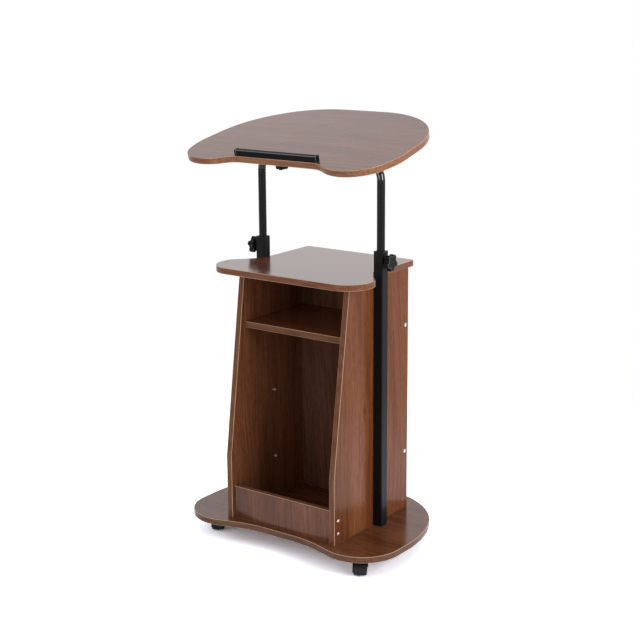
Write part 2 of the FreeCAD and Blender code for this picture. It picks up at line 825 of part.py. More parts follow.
clamp_face = "(cabinet_width / 2 + post_size + clamp_nut_thickness + stud_gap)"
for name, side, heading in (("left", "-", "-X"), ("right", "", "+X")):
    axis, turn = toward[heading][:2]
    knob = lobed_knob(name + "_clamp_knob", "clamp_knob", "clamp_stud_radius")
    place(knob, (side + "(" + clamp_face + " + clamp_knob_hub)", "post_y", clamp_z), axis, str(turn))
    stud_tip = "(" + post_x + " + " + tube_radius + " + stud_gap)"
    stud_length = clamp_face + " + clamp_knob_hub + knob_stud_depth - " + stud_tip
    keep(name + "_clamp_stud", cylinder(name + "_clamp_stud", "clamp_stud_radius", stud_length,
                                        (side + stud_tip, "post_y", clamp_z), heading))


# tilting desktop, drawn in its own frame about the crossbar's axis

def on_desk(thing):
    place(thing, **desk_frame)
    return thing


def desk_v(size):
    return size + " + desk_offset"


desk_blank = new_body("desk_blank")
desk_sketch = new_sketch(desk_blank, "desk_outline", "XY_Plane", "desk_rise")
add_outline(desk_sketch, both_halves([
    ("desk_span / 2 - desk_recess_inset", desk_v("desk_recess_v"), "desk_recess_radius"),
    ("desk_span / 2 - desk_lobe_inset", desk_v("desk_lobe_v"), "desk_lobe_radius"),
    ("desk_span / 2", desk_v("desk_side_v"), "desk_side_radius"),
    ("desk_span / 2 - desk_back_inset", desk_v("desk_back_v"), "desk_back_radius"),
]))
ease(desk_blank, pad(desk_blank, desk_sketch, "board_thickness"), (0, 0, 1), "edge_round")
desk_drills = (drills("stop_screw", stop_screw, stop_screw_spots)
               + drills("bracket_screw", bracket_screw, bracket_screw_spots))
keep("desktop_board", on_desk(cut("desktop_board", desk_blank, group("desk_holes", desk_drills))))
on_desk(fasteners("book_stop_screws", stop_screw, stop_screw_spots))
on_desk(fasteners("bracket_screws", bracket_screw, bracket_screw_spots))


# book stop: a rounded bar with a cap on each end

def stop_profile(sketch, proud):
    top = desk_top_n + " + stop_height + " + proud
    add_outline(sketch, [
        (stop_front_v + " - " + proud, desk_top_n, None),
        (stop_front_v + " + stop_depth + " + proud, desk_top_n, None),
        (stop_front_v + " + stop_depth + " + proud, top, "stop_round / 2"),
        (stop_front_v + " - " + proud, top, "stop_round"),
    ])


stop_bar = new_body("stop_bar")
stop_sketch = new_sketch(stop_bar, "stop_section", "YZ_Plane", "-stop_length / 2 + stop_cap_length")
stop_profile(stop_sketch, "0")
pad(stop_bar, stop_sketch, "stop_length - 2 * stop_cap_length")
stop_holes = group("stop_holes", drills("stop_bite", stop_screw, stop_screw_spots))
keep("book_stop", on_desk(cut("book_stop", stop_bar, stop_holes)))

stop_caps = []
for name, start in (("left", "-stop_length / 2"), ("right", "stop_length / 2 - stop_cap_length")):
    cap = new_body(name + "_stop_cap")
    cap_sketch = new_sketch(cap, name + "_stop_cap_section", "YZ_Plane", start)
    stop_profile(cap_sketch, "stop_cap_proud")
    ease(cap, pad(cap, cap_sketch, "stop_cap_length"), (1, 0, 0), "stop_cap_proud")
    stop_caps.append(cap)
keep("book_stop_caps", on_desk(group("book_stop_caps", stop_caps)))


# tilt brackets: a flange under the desktop and a trunk bored for the crossbar

def tilt_bracket(label, side, holes):
    blank = new_body(label + "_blank")
    section = new_sketch(blank, label + "_section", "YZ_Plane", side + "bracket_x - bracket_width / 2")
    under = "desk_rise - bracket_flange_thickness"
    add_outline(section, [
        ("-bracket_trunk_half", "-bracket_drop", "bracket_trunk_round"),
        ("bracket_trunk_half", "-bracket_drop", "bracket_trunk_round"),
        ("bracket_trunk_half", under, None),
        ("bracket_flange_half", under, None),
        ("bracket_flange_half", "desk_rise", None),
        ("-bracket_flange_half", "desk_rise", None),
        ("-bracket_flange_half", under, None),
        ("-bracket_trunk_half", under, None),
    ])
    add_circle(section, "0", "0", tube_radius + " + running_clearance")
    pad(blank, section, "bracket_width")
    keep(label, on_desk(cut(label, blank, group(label + "_holes", holes))))


tilt_stud_hole = cylinder("tilt_stud_hole", "tilt_stud_radius + running_clearance", "bracket_drop",
                          ("-bracket_x", "0", "0"), "-Z")
tilt_bracket("tilt_clamp", "-",
             drills("clamp_flange", bracket_screw, bracket_screw_spots) + [tilt_stud_hole])
tilt_bracket("tilt_bearing", "", drills("bearing_flange", bracket_screw, bracket_screw_spots))

tilt_knob_drop = "(bracket_drop + tilt_knob_gap + tilt_knob_hub)"
tilt_knob = lobed_knob("tilt_knob", "tilt_knob", "tilt_stud_radius")
tilt_knob_y = "post_y + " + tilt_knob_drop + " * sin(tilt_angle)"
tilt_knob_z = crossbar_z + " - " + tilt_knob_drop + " * cos(tilt_angle)"
place(tilt_knob, ("-bracket_x", tilt_knob_y, tilt_knob_z), (1, 0, 0), "180 + tilt_angle")
tilt_stud = cylinder("tilt_stud_rod", "tilt_stud_radius",
                     tilt_knob_drop + " + knob_stud_depth - " + tube_radius + " - stud_gap",
                     shifted(("-bracket_x", "0", "0"), "-Z", tube_radius + " + stud_gap"), "-Z")
keep("tilt_stud", on_desk(group("tilt_stud", [tilt_stud])))


# twin-wheel casters, drawn about the swivel pin with the axle towards +Y

wheel_start = "(web_thickness / 2 + wheel_side_gap)"
axle_at = ("0", "caster_trail", "wheel_radius")
hood_radius = "(wheel_radius + wheel_hood_gap + hood_wall)"
boss_top = "(caster_height - plate_thickness - swivel_gap)"


def caster_hood(label):
    def across(name, radius, half_width):
        start = shifted(axle_at, "-X", half_width)
        return cylinder(label + name, radius, "2 * (" + half_width + ")", start, "+X")

    def below(name, half_width, top):
        floor = "wheel_radius - " + hood_radius
        at = ("-(" + half_width + ")", "caster_trail - " + hood_radius, floor)
        return box(label + name, "2 * (" + half_width + ")", "2 * " + hood_radius,
                   top + " - (" + floor + ")", at)

    guard = cut(label + "_guard", across("_guard_round", hood_radius, "hood_width / 2"),
                below("_guard_below", "hood_width / 2", "wheel_radius - hood_skirt"))
    web = cut(label + "_web", across("_web_round", hood_radius, "web_thickness / 2"),
              below("_web_below", "web_thickness / 2", "wheel_radius - web_below_axle"))
    boss = cylinder(label + "_boss", "swivel_boss_radius", "swivel_boss_depth",
                    ("0", "0", boss_top + " - swivel_boss_depth"))
    spaces = []
    for heading in ("-X", "+X"):
        start = shifted(axle_at, heading, "web_thickness / 2")
        spaces.append(cylinder(label + "_space_" + heading[0], "wheel_radius + wheel_hood_gap",
                               "hood_width", start, heading))
    pin_bore = cylinder(label + "_pin_bore", "swivel_pin_radius + running_clearance",
                        "swivel_pin_length", ("0", "0", boss_top + " - swivel_pin_length"))
    axle_bore = across("_axle_bore", "axle_radius + seat_clearance", "web_thickness")
    body = fuse(label + "_body", [guard, web, boss])
    return cut(label, body, group(label + "_spaces", spaces + [pin_bore, axle_bore]))


def caster_wheel(label, heading):
    wheel = new_body(label + "_blank")
    section = new_sketch(wheel, label + "_section", "XZ_Plane")
    bore = "axle_radius + running_clearance"
    rim = "wheel_radius - wheel_round - wheel_dish_depth"
    add_outline(section, [
        (bore, "0", None),
        ("wheel_radius", "0", "wheel_inner_round"),
        ("wheel_radius", "wheel_width", "wheel_round"),
        (rim, "wheel_width", None),
        ("wheel_dish_radius", "wheel_width - wheel_dish_depth", None),
        (bore, "wheel_width - wheel_dish_depth", None),
    ])
    revolve(wheel, section, "V_Axis")
    axis, turn = toward[heading][:2]
    place(wheel, shifted(axle_at, heading, wheel_start), axis, str(turn))
    return group(label, [wheel])


def caster_plate(label):
    plate = new_body(label + "_blank")
    outline = new_sketch(plate, label + "_outline", "XY_Plane", plate_bottom)
    square(outline, "plate_size", "plate_corner")
    for across in ("-", ""):
        for along in ("-", ""):
            add_circle(outline, across + "plate_screw_half_pitch", along + "plate_screw_half_pitch",
                       "wood_screw_radius + hole_clearance")
    pad(plate, outline, "plate_thickness")
    pin = new_sketch(plate, label + "_pin", "XY_Plane", plate_bottom)
    add_circle(pin, "0", "0", "swivel_pin_radius")
    pad(plate, pin, "swivel_pin_length").Reversed = True
    return plate


for name, (x, y) in caster_spots.items():
    label = "caster_" + name
    plate = keep(label + "_plate", caster_plate(label + "_plate"))
    place(plate, (x, y, "0"))
    axle_half = wheel_start + " + wheel_width - wheel_dish_depth"
    axle = cylinder(label + "_axle_rod", "axle_radius", "2 * (" + axle_half + ")",
                    shifted(axle_at, "-X", axle_half), "+X")
    turning = (
        keep(label + "_hood", caster_hood(label + "_hood")),
        keep(label + "_axle", group(label + "_axle", [axle])),
        keep(label + "_left_wheel", caster_wheel(label + "_left_wheel", "-X")),
        keep(label + "_right_wheel", caster_wheel(label + "_right_wheel", "+X")),
    )
    for piece in turning:
        place(piece, (x, y, "0"), (0, 0, 1), str(caster_turns[name]))

doc.recompute()

# every object has to be whole before anything is written

for thing in doc.Objects:
    if "Invalid" in thing.State or "Error" in thing.State:
        raise RuntimeError("failed object: " + thing.Label)
for label, thing in nodes.items():
    if thing.Shape.isNull() or not thing.Shape.isValid() or not thing.Shape.Solids:
        raise RuntimeError("bad shape: " + label)

os.makedirs("parts", exist_ok=True)
for label, thing in nodes.items():
    thing.Shape.exportStep("parts/" + label + ".step")
print(len(nodes), "nodes")
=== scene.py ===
import bpy
import bmesh
import json
import math
from mathutils import Euler, Matrix, Vector


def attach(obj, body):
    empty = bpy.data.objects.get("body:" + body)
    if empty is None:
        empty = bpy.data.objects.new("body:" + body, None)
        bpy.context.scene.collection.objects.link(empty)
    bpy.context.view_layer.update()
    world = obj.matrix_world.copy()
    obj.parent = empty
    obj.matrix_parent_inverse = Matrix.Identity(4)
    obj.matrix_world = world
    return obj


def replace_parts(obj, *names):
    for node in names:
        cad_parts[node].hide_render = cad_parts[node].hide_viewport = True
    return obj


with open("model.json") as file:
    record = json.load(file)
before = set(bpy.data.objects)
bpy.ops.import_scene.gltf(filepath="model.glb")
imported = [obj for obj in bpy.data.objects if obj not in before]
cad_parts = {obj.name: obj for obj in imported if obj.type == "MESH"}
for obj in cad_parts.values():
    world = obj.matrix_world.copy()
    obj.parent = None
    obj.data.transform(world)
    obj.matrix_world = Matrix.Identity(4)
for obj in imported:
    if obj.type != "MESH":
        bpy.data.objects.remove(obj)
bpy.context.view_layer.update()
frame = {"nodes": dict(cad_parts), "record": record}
nodes = frame["nodes"]
scene = bpy.context.scene
scene.view_settings.view_transform = "Standard"
print("frame loaded,", len(nodes), "nodes")


# camera at the photograph's angle
cameraSettings = {
    "lens": 80.0,  # mm
    "sensor": 36.0,  # mm
    "place": (1.934, -2.651, 1.356),
    "azimuth": 36.25,
    "elevation": 13.43,
    "roll": -0.44,
    "shiftY": -0.0138,
    "clipEnd": 100.0,
}


def addCamera(settings):
    data = bpy.data.cameras.new("deskCamera")
    data.lens = settings["lens"]
    data.sensor_width = settings["sensor"]
    data.shift_y = settings["shiftY"]
    data.clip_end = settings["clipEnd"]
    camera = bpy.data.objects.new("deskCamera", data)
    tip = math.radians(90 - settings["elevation"])
    turn = Euler((tip, 0, math.radians(settings["azimuth"]))).to_matrix()
    turn = turn @ Matrix.Rotation(math.radians(settings["roll"]), 3, "Z")
    camera.matrix_world = Matrix.Translation(settings["place"]) @ turn.to_4x4()
    scene.collection.objects.link(camera)
    scene.camera = camera


addCamera(cameraSettings)
print("camera placed")


# node helpers
def addNode(tree, kind, inputs=None, **settings):
    node = tree.nodes.new("ShaderNode" + kind)
    for name, value in settings.items():
        setattr(node, name, value)
    for key, value in (inputs or {}).items():
        if isinstance(value, bpy.types.NodeSocket):
            tree.links.new(value, node.inputs[key])
        else:
            node.inputs[key].default_value = value
    return node


def mathNode(tree, operation, first, second=0.0):
    return addNode(tree, "Math", {0: first, 1: second}, operation=operation).outputs[0]


def vectorNode(tree, operation, first, second=(0.0, 0.0, 0.0), output=0):
    return addNode(tree, "VectorMath", {0: first, 1: second}, operation=operation).outputs[output]


def partOf(tree, vector, letter):
    return addNode(tree, "SeparateXYZ", {0: vector}).outputs[letter]


def mixed(tree, factor, first, second):
    return addNode(tree, "Mix", {0: factor, 6: first, 7: second}, data_type="RGBA").outputs[2]


def spread(tree, value, ends, span=(0.0, 1.0)):
    inputs = {"Value": value, "From Min": span[0], "From Max": span[1],
              "To Min": ends[0], "To Max": ends[1]}
    return addNode(tree, "MapRange", inputs).outputs[0]


def rising(tree, value, span):
    return spread(tree, value, (0.0, 1.0), span)


def falling(tree, value, span):
    return spread(tree, value, (1.0, 0.0), span)


def opaque(colour):
    return (*colour, 1.0)


def ramp(tree, value, stops):
    node = addNode(tree, "ValToRGB", {"Fac": value})
    elements = node.color_ramp.elements
    while len(elements) < len(stops):
        elements.new(0.5)
    for element, (place, colour) in zip(elements, stops):
        element.position = place
        element.color = colour
    return node.outputs["Color"]


def startMaterial(name):
    material = bpy.data.materials.new(name)
    material.use_nodes = True
    tree = material.node_tree
    tree.nodes.clear()
    output = addNode(tree, "OutputMaterial")
    shader = addNode(tree, "BsdfPrincipled")
    tree.links.new(shader.outputs[0], output.inputs["Surface"])
    return material, tree, shader


def dress(nodeName, material):
    piece = nodes[nodeName]
    piece.data.materials.clear()
    piece.data.materials.append(material)


# walnut laminate: grain on the faces, a plainer band on the edges, a painted highlight line where they meet
walnutLook = {
    "colours": {
        "dark": (0.098, 0.029, 0.009),
        "middle": (0.205, 0.062, 0.019),
        "light": (0.285, 0.100, 0.036),
        "streak": (0.040, 0.015, 0.008),
        "band": (0.235, 0.108, 0.060),
        "bandDark": (0.165, 0.070, 0.037),
        # painted highlight: the pale line on the rounded corners between faces and edges
        "highlightLine": (0.64, 0.44, 0.31),
    },
    "noises": {  # scale per metre along the grain, across it and through the board
        "drift": {"scale": (1.6, 4.0, 4.0), "detail": 2.0, "rough": 0.5},
        "broad": {"scale": (1.3, 17.0, 17.0), "detail": 4.0, "rough": 0.55},
        "fine": {"scale": (7.0, 240.0, 240.0), "detail": 5.0, "rough": 0.6},
        "pores": {"scale": (42.0, 1050.0, 1050.0), "detail": 2.0, "rough": 0.5},
        "threads": {"scale": (5.0, 330.0, 330.0), "detail": 2.0, "rough": 0.5},
        "flecks": {"scale": (46.0, 420.0, 420.0), "detail": 3.0, "rough": 0.6},
    },
    "noiseMiddle": 0.5,
    "waviness": 0.09,  # metres that the grain wanders sideways
    "shares": {"broad": 0.60, "fine": 0.40},
    "stops": {"dark": 0.33, "middle": 0.50, "light": 0.68},
    "poreSpan": (0.60, 0.74),
    "poreStrength": 0.55,
    "threadSpan": (0.55, 0.68),
    "fleckSpan": (0.50, 0.66),
    "fleckStrength": 0.42,
    "bandSpan": (0.40, 0.60),
    "facingHighlightLine": (0.84, 0.94),  # how squarely a point faces the board's flat side: 1 on it, 0 on the edges
    "facingBand": (0.24, 0.46),
    "facingGloss": (0.50, 0.98),
    "facingUp": (0.20, 0.40),  # how far a rim faces up where a panel's top loses its painted highlight line
    "edgeGloss": 0.08,
    "ior": 1.5,
    "rough": (0.12, 0.26),
    "streakSpan": (0.25, 0.75),
    "streaky": (0.72, 1.28),  # share of the gloss between the grain's dark and light threads
    "bump": 0.012,
    "bumpDistance": 0.0004,
}
knotLook = {
    "along": 0.016,
    "across": 0.009,
    "swirl": (0.0, 2.4),  # knot sizes over which the grain bends round it
    "push": -0.85,
    "ragged": 3.0,
    "core": (0.15, 0.75),
    "strength": 0.75,
}
bareFade = 0.001  # metres over which the bare edge begins and ends
tilt = math.radians(12.5)
deskNormal = (0.0, -math.sin(tilt), math.cos(tilt))
sideways, upright = (1, 0, 0), (0, 0, 1)
level, facingSide, facingFront = (0, 0, 1), (1, 0, 0), (0, 1, 0)
boards = {
    "base_board": {
        "flat": level, "grain": sideways, "start": (0.31, 0.12, 0.0), "gloss": 0.44, "threads": 0.5,
        # darker tone and edge tone: painted shade, as the board lies low under the cabinet and near the
        # floor
        "toneAndShade": (0.72, 0.75, 0.92), "edgeToneAndLight": (0.71, 0.76, 0.81),
    },
    "cabinet_top": {
        "flat": level, "grain": sideways, "start": (1.73, 0.55, 0.0), "gloss": 1.0, "threads": 0.5,
        "toneAndShade": (0.95, 1.00, 1.45), "edgeToneAndLight": (0.95, 0.79, 0.66), "ior": 1.90,
        "bare": {"from": -0.040, "to": -0.009, "colour": (0.62, 0.53, 0.46, 1.0)},  # its notches' front end
    },
    "shelf": {
        "flat": level, "grain": sideways, "start": (2.90, 0.83, 0.0), "gloss": 0.5, "threads": 0.5,
        "toneAndShade": (0.90, 0.98, 1.20), "edgeToneAndLight": (0.765, 0.71, 0.62),
    },
    "desktop_board": {
        "flat": deskNormal, "grain": sideways, "start": (4.12, 1.31, 0.0), "gloss": 0.66, "threads": 0.85,
        # the bright edge tone is painted light on the desk's edges
        "toneAndShade": (0.90, 0.80, 1.15), "edgeToneAndLight": (1.42, 1.40, 1.40),
    },
    "left_side_panel": {
        "flat": facingSide, "grain": upright, "start": (0.90, 2.10, 0.0), "gloss": 0.16, "threads": 0.5,
        "toneAndShade": (1.02, 1.18, 1.62), "edgeToneAndLight": (0.89, 0.84, 0.73), "plainTop": True,
    },
    "right_side_panel": {
        "flat": facingSide, "grain": upright, "start": (3.40, 2.63, 0.0), "gloss": 0.13, "threads": 0.4,
        "toneAndShade": (0.92, 0.93, 0.97), "edgeToneAndLight": (0.90, 0.80, 0.72), "plainTop": True,
        "knot": (0.160, -0.047, 0.355),
    },
    "back_panel": {
        "flat": facingFront, "grain": upright, "start": (5.70, 2.70, 0.0), "gloss": 0.16, "threads": 0.5,
        "toneAndShade": (0.80, 1.10, 1.95), "edgeToneAndLight": (0.85, 0.85, 0.75),
    },
    "kick_board": {
        "flat": facingFront, "grain": upright, "start": (7.20, 3.30, 0.0), "gloss": 0.24, "threads": 0.35,
        "toneAndShade": (0.80, 0.84, 1.08), "edgeToneAndLight": (0.89, 0.84, 0.73),
    },
}


def tintedColours(board, colours):
    tint = {}
    for part, colour in colours.items():
        toneAndShade = Vector((1, 1, 1))
        # tones carry each board's colour and, on the base and desktop, painted shade or light
        if part in ("dark", "middle", "light", "streak"):
            toneAndShade = Vector(board["toneAndShade"])
        elif part in ("band", "bandDark"):
            toneAndShade = Vector(board["edgeToneAndLight"])
        tint[part] = opaque(toneAndShade * Vector(colour))
    return tint


def grainNoise(tree, place, look, kind):
    noise = look["noises"][kind]
    inputs = {"Vector": vectorNode(tree, "MULTIPLY", place, noise["scale"]), "Scale": 1.0,
              "Detail": noise["detail"], "Roughness": noise["rough"]}
    return addNode(tree, "TexNoise", inputs).outputs[0]


def marked(tree, face, noise, span, strength, colour):
    share = mathNode(tree, "MULTIPLY", rising(tree, noise, span), strength)
    return mixed(tree, share, face, colour)


def knotFrom(tree, laid, middle, knot):
    away = vectorNode(tree, "SUBTRACT", laid, middle)
    away = vectorNode(tree, "MULTIPLY", away, (1 / knot["along"], 1 / knot["across"], 0.0))
    reach = vectorNode(tree, "LENGTH", away, output="Value")
    push = mathNode(tree, "MULTIPLY", falling(tree, reach, knot["swirl"]), knot["push"] * knot["across"])
    push = mathNode(tree, "MULTIPLY", push, partOf(tree, away, "Y"))
    return reach, push


def centred(tree, noise, look):
    return mathNode(tree, "SUBTRACT", noise, look["noiseMiddle"])


def knotCore(tree, reach, ragged, knot):
    ragged = mathNode(tree, "MULTIPLY", ragged, knot["ragged"])
    core = falling(tree, mathNode(tree, "ADD", reach, ragged), knot["core"])
    return mathNode(tree, "MULTIPLY", core, knot["strength"])


def bareShare(tree, place, bare):
    depth = partOf(tree, place, "Y")
    begin = rising(tree, depth, (bare["from"] - bareFade, bare["from"]))
    end = falling(tree, depth, (bare["to"], bare["to"] + bareFade))
    return mathNode(tree, "MULTIPLY", begin, end)


def walnutLaminate(name, board, look):
    material, tree, shader = startMaterial(name)
    coords = addNode(tree, "TexCoord").outputs
    tint = tintedColours(board, look["colours"])

    # X along the grain, Y across it
    flat, grain = Vector(board["flat"]), Vector(board["grain"])
    turn = Matrix((grain, flat.cross(grain), flat))
    laid = addNode(tree, "Mapping", {"Vector": coords["Object"], "Rotation": turn.to_euler(),
                                     "Location": board["start"]}).outputs[0]
    drift = centred(tree, grainNoise(tree, laid, look, "drift"), look)
    drift = mathNode(tree, "MULTIPLY", drift, look["waviness"])
    if "knot" in board:
        middle = turn @ Vector(board["knot"]) + Vector(board["start"])
        reach, push = knotFrom(tree, laid, middle, knotLook)
        drift = mathNode(tree, "ADD", drift, push)
    shift = addNode(tree, "CombineXYZ", {"Y": drift}).outputs[0]
    wavy = vectorNode(tree, "ADD", laid, shift)

    # flat faces
    broad = grainNoise(tree, wavy, look, "broad")
    fine = grainNoise(tree, wavy, look, "fine")
    pores = grainNoise(tree, laid, look, "pores")
    threads = grainNoise(tree, wavy, look, "threads")
    flecks = grainNoise(tree, wavy, look, "flecks")
    shade = mathNode(tree, "ADD", mathNode(tree, "MULTIPLY", broad, look["shares"]["broad"]),
                     mathNode(tree, "MULTIPLY", fine, look["shares"]["fine"]))
    face = ramp(tree, shade, [(place, tint[part]) for part, place in look["stops"].items()])
    face = marked(tree, face, pores, look["poreSpan"], look["poreStrength"], tint["streak"])
    face = marked(tree, face, threads, look["threadSpan"], board["threads"], tint["streak"])
    face = marked(tree, face, flecks, look["fleckSpan"], look["fleckStrength"], tint["streak"])
    if "knot" in board:
        core = knotCore(tree, reach, centred(tree, pores, look), knotLook)
        face = mixed(tree, core, face, tint["streak"])

    # edges
    band = mixed(tree, rising(tree, fine, look["bandSpan"]), tint["bandDark"], tint["band"])
    if "bare" in board:
        band = mixed(tree, bareShare(tree, coords["Object"], board["bare"]), band, board["bare"]["colour"])
    facing = vectorNode(tree, "DOT_PRODUCT", coords["Normal"], board["flat"], output="Value")
    facing = mathNode(tree, "ABSOLUTE", facing)
    # painted highlight: a pale line where the rounded corner turns from face to edge, left off panel rims
    # that face up
    highlightLine = tint["highlightLine"]
    if "plainTop" in board:
        upward = rising(tree, partOf(tree, coords["Normal"], "Z"), look["facingUp"])
        highlightLine = mixed(tree, upward, highlightLine, tint["bandDark"])
    colour = mixed(tree, rising(tree, facing, look["facingHighlightLine"]), highlightLine, face)
    colour = mixed(tree, falling(tree, facing, look["facingBand"]), colour, band)
    tree.links.new(colour, shader.inputs["Base Color"])

    # gloss
    tree.links.new(spread(tree, fine, look["rough"]), shader.inputs["Roughness"])
    shader.inputs["IOR"].default_value = board.get("ior", look["ior"])
    shader.inputs["Specular IOR Level"].default_value = board["gloss"]
    gloss = spread(tree, facing, (look["edgeGloss"], board["gloss"]), look["facingGloss"])
    streaky = spread(tree, rising(tree, fine, look["streakSpan"]), look["streaky"])
    tree.links.new(mathNode(tree, "MULTIPLY", gloss, streaky), shader.inputs["Specular IOR Level"])
    bump = addNode(tree, "Bump", {"Height": fine, "Strength": look["bump"],
                                  "Distance": look["bumpDistance"]})
    tree.links.new(bump.outputs[0], shader.inputs["Normal"])
    return material


for boardName, board in boards.items():
    dress(boardName, walnutLaminate("walnut_" + boardName, board, walnutLook))
print("boards veneered")


# black finishes: gloss paint on the tubes, satin plastic on knobs, stop, bushes and casters
blackLook = {
    "gloss_tube": {
        "dark": (0.006, 0.006, 0.007), "light": (0.010, 0.010, 0.011), "rough": (0.20, 0.30),
        "grain": 260.0, "bump": 0.02, "specular": 0.12,
    },
    "polished_bend": {
        "dark": (0.004, 0.004, 0.005), "light": (0.007, 0.007, 0.008), "rough": (0.20, 0.30),
        "grain": 260.0, "bump": 0.02, "specular": 0.15,
        "polish": {"from": 0.8945, "fade": 0.002, "rough": 0.03, "specular": 0.50},  # above this height
    },
    "polished_rim": {
        "dark": (0.004, 0.004, 0.005), "light": (0.007, 0.007, 0.008), "rough": (0.04, 0.06),
        "grain": 260.0, "bump": 0.0, "specular": 0.5,
    },
    "satin_plastic": {
        "dark": (0.008, 0.008, 0.009), "light": (0.015, 0.015, 0.016), "rough": (0.30, 0.45),
        "grain": 900.0, "bump": 0.10, "specular": 0.15,
    },
    "knob_plastic": {
        "dark": (0.005, 0.005, 0.006), "light": (0.009, 0.009, 0.010), "rough": (0.22, 0.34),
        "grain": 900.0, "bump": 0.06, "specular": 0.10,
        # painted highlight on the knob's rims
        "edgeHighlight": {"axis": (1, 0, 0), "colour": (0.10, 0.10, 0.105, 1.0), "span": (0.84, 0.95)},
    },
    "tilt_plastic": {
        "dark": (0.005, 0.005, 0.006), "light": (0.009, 0.009, 0.010), "rough": (0.22, 0.34),
        "grain": 900.0, "bump": 0.06, "specular": 0.10,
        # painted highlight on the knob's rims
        "edgeHighlight": {"axis": deskNormal, "colour": (0.10, 0.10, 0.105, 1.0), "span": (0.84, 0.95)},
    },
    "stop_strip": {
        "dark": (0.006, 0.006, 0.007), "light": (0.010, 0.010, 0.011), "rough": (0.40, 0.55),
        "grain": 900.0, "bump": 0.08, "specular": 0.05,
        # painted highlight along the bar's rounded edges
        "edgeHighlight": {"flat": deskNormal, "colour": (0.24, 0.24, 0.25, 1.0), "span": (0.80, 0.93)},
    },
    "caster_hood": {
        "dark": (0.008, 0.008, 0.009), "light": (0.014, 0.014, 0.015), "rough": (0.28, 0.42),
        "grain": 900.0, "bump": 0.07, "specular": 0.18,
    },
    "caster_tread": {
        "dark": (0.010, 0.010, 0.011), "light": (0.018, 0.018, 0.019), "rough": (0.48, 0.66),
        "grain": 700.0, "bump": 0.12, "specular": 0.15,
    },
}
blackBase = {"cloud": 9.0, "cloudSpan": (0.3, 0.7), "detail": 3.0, "bumpDistance": 0.0003}


def steepness(tree, way):
    normal = addNode(tree, "TexCoord").outputs["Normal"]
    return mathNode(tree, "ABSOLUTE", vectorNode(tree, "DOT_PRODUCT", normal, way, output="Value"))


# painted highlight: a lighter grey on rims and rounded edges, where they would catch the light
def paintedEdgeHighlight(tree, edgeHighlight):
    if "axis" in edgeHighlight:  # a turned piece: its rims
        endOn = steepness(tree, edgeHighlight["axis"])
        sideOn = mathNode(tree, "SUBTRACT", 1.0, mathNode(tree, "MULTIPLY", endOn, endOn))
        squarest = mathNode(tree, "MAXIMUM", endOn, mathNode(tree, "SQRT", sideOn))
    else:  # a square bar: its rounded edges
        upward, lengthwise = Vector(edgeHighlight["flat"]), Vector((1, 0, 0))
        squarest = steepness(tree, upward.cross(lengthwise))
        for way in (upward, lengthwise):
            squarest = mathNode(tree, "MAXIMUM", squarest, steepness(tree, way))
    return falling(tree, squarest, edgeHighlight["span"])


def blackFinish(name, look, base):
    material, tree, shader = startMaterial(name)
    coords = addNode(tree, "TexCoord").outputs["Object"]
    speck = addNode(tree, "TexNoise", {"Vector": coords, "Scale": look["grain"], "Detail": base["detail"]})
    cloud = addNode(tree, "TexNoise", {"Vector": coords, "Scale": base["cloud"], "Detail": base["detail"]})
    colour = mixed(tree, cloud.outputs[0], opaque(look["dark"]), opaque(look["light"]))
    # painted highlight on rims and rounded edges
    if "edgeHighlight" in look:
        colour = mixed(tree, paintedEdgeHighlight(tree, look["edgeHighlight"]), colour, look["edgeHighlight"]["colour"])
    tree.links.new(colour, shader.inputs["Base Color"])
    rough = spread(tree, cloud.outputs[0], look["rough"], base["cloudSpan"])
    shader.inputs["Specular IOR Level"].default_value = look["specular"]
    if "polish" in look:
        polish = look["polish"]
        height = partOf(tree, coords, "Z")
        above = rising(tree, height, (polish["from"], polish["from"] + polish["fade"]))
        rough = addNode(tree, "Mix", {0: above, 2: rough, 3: polish["rough"]}).outputs[0]
        shine = spread(tree, above, (look["specular"], polish["specular"]))
        tree.links.new(shine, shader.inputs["Specular IOR Level"])
    tree.links.new(rough, shader.inputs["Roughness"])
    bump = addNode(tree, "Bump", {"Height": speck.outputs[0], "Strength": look["bump"],
                                  "Distance": base["bumpDistance"]})
    tree.links.new(bump.outputs[0], shader.inputs["Normal"])
    return material


blacks = {name: blackFinish(name, look, blackBase) for name, look in blackLook.items()}

# zinc-plated steel on screws, bolts, studs, axles and caster plates
steelLook = {
    "bright": (0.86, 0.86, 0.87),
    "dull": (0.66, 0.66, 0.67),
    "rough": (0.24, 0.42),
    "cloud": 160.0,
    "detail": 4.0,
    "bump": 0.08,
    "bumpDistance": 0.0002,
}


def zincSteel(name, look):
    material, tree, shader = startMaterial(name)
    coords = addNode(tree, "TexCoord").outputs["Object"]
    cloud = addNode(tree, "TexNoise", {"Vector": coords, "Scale": look["cloud"], "Detail": look["detail"]})
    colour = mixed(tree, cloud.outputs[0], opaque(look["dull"]), opaque(look["bright"]))
    tree.links.new(colour, shader.inputs["Base Color"])
    tree.links.new(spread(tree, cloud.outputs[0], look["rough"]), shader.inputs["Roughness"])
    bump = addNode(tree, "Bump", {"Height": cloud.outputs[0], "Strength": look["bump"],
                                  "Distance": look["bumpDistance"]})
    tree.links.new(bump.outputs[0], shader.inputs["Normal"])
    shader.inputs["Metallic"].default_value = 1.0
    return material


